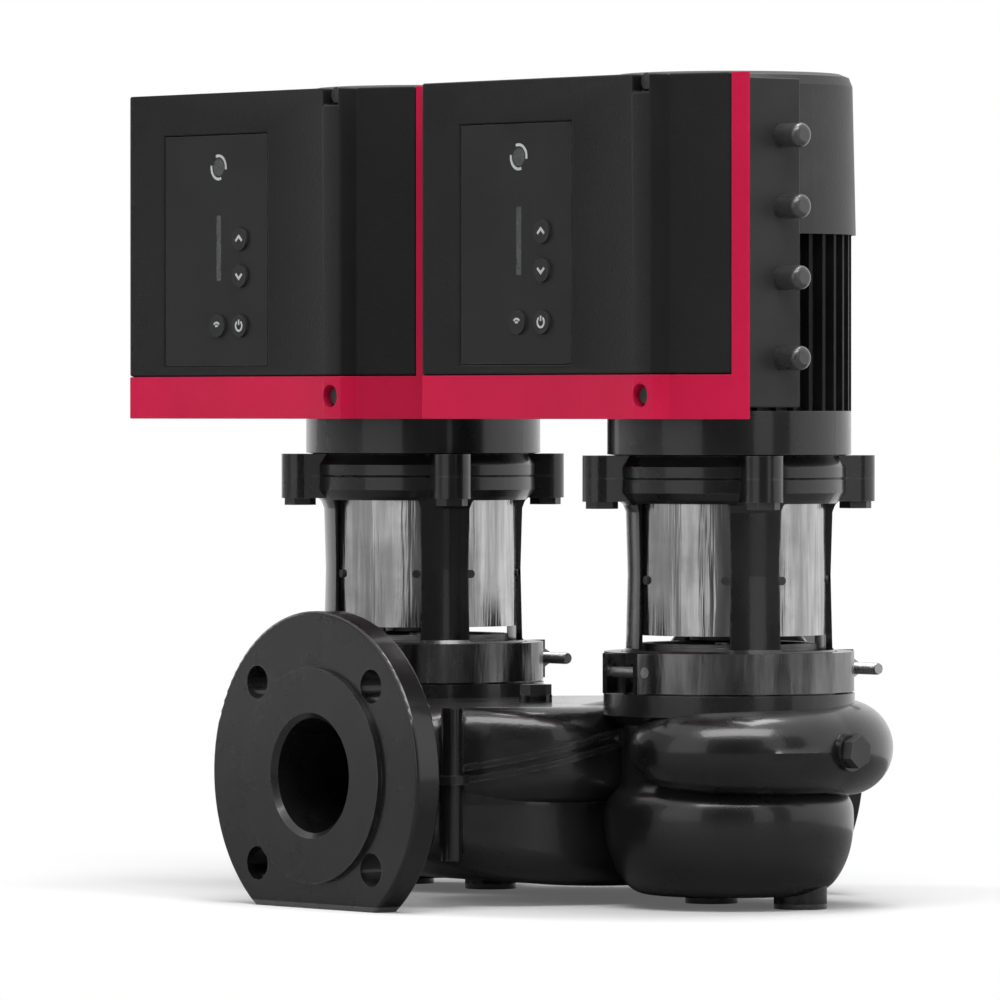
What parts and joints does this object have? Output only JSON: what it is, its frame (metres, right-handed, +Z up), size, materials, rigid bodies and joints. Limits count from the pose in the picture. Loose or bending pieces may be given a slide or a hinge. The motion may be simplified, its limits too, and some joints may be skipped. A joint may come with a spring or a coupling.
{
  "type": "in-line circulation pump",
  "caption": "In-line circulation pump with two heads on one flanged casting, upright motors with finned housings and front control boxes with push buttons.",
  "frame": {"origin": "on the standing plane under the crossing of the flow axis and the line through both shafts", "axes": "+Z up along the shafts, +Y along the flow axis towards the inlet flange at the back, +X to the right head"},
  "size_m": [0.5416, 0.34, 0.4695],
  "materials": {
    "cast_iron_black": "dip-coated black casting, half gloss",
    "machined_iron": "machined",
    "clamp_steel": "rolled, satin",
    "seal_face": "lapped",
    "stainless": "pressed, satin",
    "shaft_steel": "ground",
    "coupling_iron": "machined",
    "guard_sheet": "bright rolled sheet",
    "motor_black": "black paint on die casting",
    "fan_plastic": "moulded",
    "cowl_black": "satin black paint",
    "box_aluminium": "black paint on die casting",
    "frame_crimson": "fine grained crimson moulding",
    "cover_charcoal": "fine grained charcoal moulding",
    "panel_charcoal": "smooth foil",
    "button_grey": "soft touch",
    "light_lens": "clear lens",
    "plug_plastic": "moulded",
    "plug_iron": "black",
    "bolt_steel": "zinc plated",
    "bolt_black": "black oxide"
  },
  "bodies": {
    "pump": {"pump_housing": "cast_iron_black", "flap_pin": "stainless", "volute_plugs": "plug_iron", "clamp_bolts": "bolt_steel", "guard_screws": "bolt_steel", "flange_bolts": "bolt_black", "panel_lights": "light_lens", "box_plugs": "plug_plastic", "cover_screws": "bolt_black", "left_clamp_ring": "clamp_steel", "left_head_cover": "machined_iron", "left_shaft_seal": "seal_face", "left_motor_stool": "cast_iron_black", "left_coupling_guards": "guard_sheet", "left_motor_flange": "cast_iron_black", "left_stator_housing": "motor_black", "left_motor_bearings": "shaft_steel", "left_rear_shield": "motor_black", "left_fan_cover": "cowl_black", "left_box_base": "box_aluminium", "left_box_frame": "frame_crimson", "left_box_cover": "cover_charcoal", "left_control_panel": "panel_charcoal", "right_clamp_ring": "clamp_steel", "right_head_cover": "machined_iron", "right_shaft_seal": "seal_face", "right_motor_stool": "cast_iron_black", "right_coupling_guards": "guard_sheet", "right_motor_flange": "cast_iron_black", "right_stator_housing": "motor_black", "right_motor_bearings": "shaft_steel", "right_rear_shield": "motor_black", "right_fan_cover": "cowl_black", "right_box_base": "box_aluminium", "right_box_frame": "frame_crimson", "right_box_cover": "cover_charcoal", "right_control_panel": "panel_charcoal"},
    "flap": {"non_return_flap": "stainless"},
    "left_rotating_set": {"left_impeller": "stainless", "left_pump_shaft": "shaft_steel", "left_shaft_coupling": "coupling_iron", "left_motor_rotor": "shaft_steel", "left_cooling_fan": "fan_plastic"},
    "right_rotating_set": {"right_impeller": "stainless", "right_pump_shaft": "shaft_steel", "right_shaft_coupling": "coupling_iron", "right_motor_rotor": "shaft_steel", "right_cooling_fan": "fan_plastic"},
    "left_up_button": {"left_up_button": "button_grey"},
    "left_down_button": {"left_down_button": "button_grey"},
    "left_mode_button": {"left_mode_button": "button_grey"},
    "left_run_button": {"left_run_button": "button_grey"},
    "right_up_button": {"right_up_button": "button_grey"},
    "right_down_button": {"right_down_button": "button_grey"},
    "right_mode_button": {"right_mode_button": "button_grey"},
    "right_run_button": {"right_run_button": "button_grey"}
  },
  "joints": [
    {"name": "left_spin", "type": "hinge", "parent": "pump", "child": "left_rotating_set", "pos_m": [-0.1365, 0, 0.25], "axis": [0, 0, 1], "continuous": true},
    {"name": "right_spin", "type": "hinge", "parent": "pump", "child": "right_rotating_set", "pos_m": [0.1365, 0, 0.25], "axis": [0, 0, 1], "continuous": true},
    {"name": "flap_swing", "type": "hinge", "parent": "pump", "child": "flap", "pos_m": [0, -0.066, 0.075], "axis": [0, 0, 1], "range_deg": [-34, 34]},
    {"name": "left_up_button_press", "type": "slide", "parent": "pump", "child": "left_up_button", "axis": [0, 1, 0], "range_m": [0, 0.0008], "stiffness_N_per_m": 900},
    {"name": "left_down_button_press", "type": "slide", "parent": "pump", "child": "left_down_button", "axis": [0, 1, 0], "range_m": [0, 0.0008], "stiffness_N_per_m": 900},
    {"name": "left_mode_button_press", "type": "slide", "parent": "pump", "child": "left_mode_button", "axis": [0, 1, 0], "range_m": [0, 0.0008], "stiffness_N_per_m": 900},
    {"name": "left_run_button_press", "type": "slide", "parent": "pump", "child": "left_run_button", "axis": [0, 1, 0], "range_m": [0, 0.0008], "stiffness_N_per_m": 900},
    {"name": "right_up_button_press", "type": "slide", "parent": "pump", "child": "right_up_button", "axis": [0, 1, 0], "range_m": [0, 0.0008], "stiffness_N_per_m": 900},
    {"name": "right_down_button_press", "type": "slide", "parent": "pump", "child": "right_down_button", "axis": [0, 1, 0], "range_m": [0, 0.0008], "stiffness_N_per_m": 900},
    {"name": "right_mode_button_press", "type": "slide", "parent": "pump", "child": "right_mode_button", "axis": [0, 1, 0], "range_m": [0, 0.0008], "stiffness_N_per_m": 900},
    {"name": "right_run_button_press", "type": "slide", "parent": "pump", "child": "right_run_button", "axis": [0, 1, 0], "range_m": [0, 0.0008], "stiffness_N_per_m": 900}
  ]
}
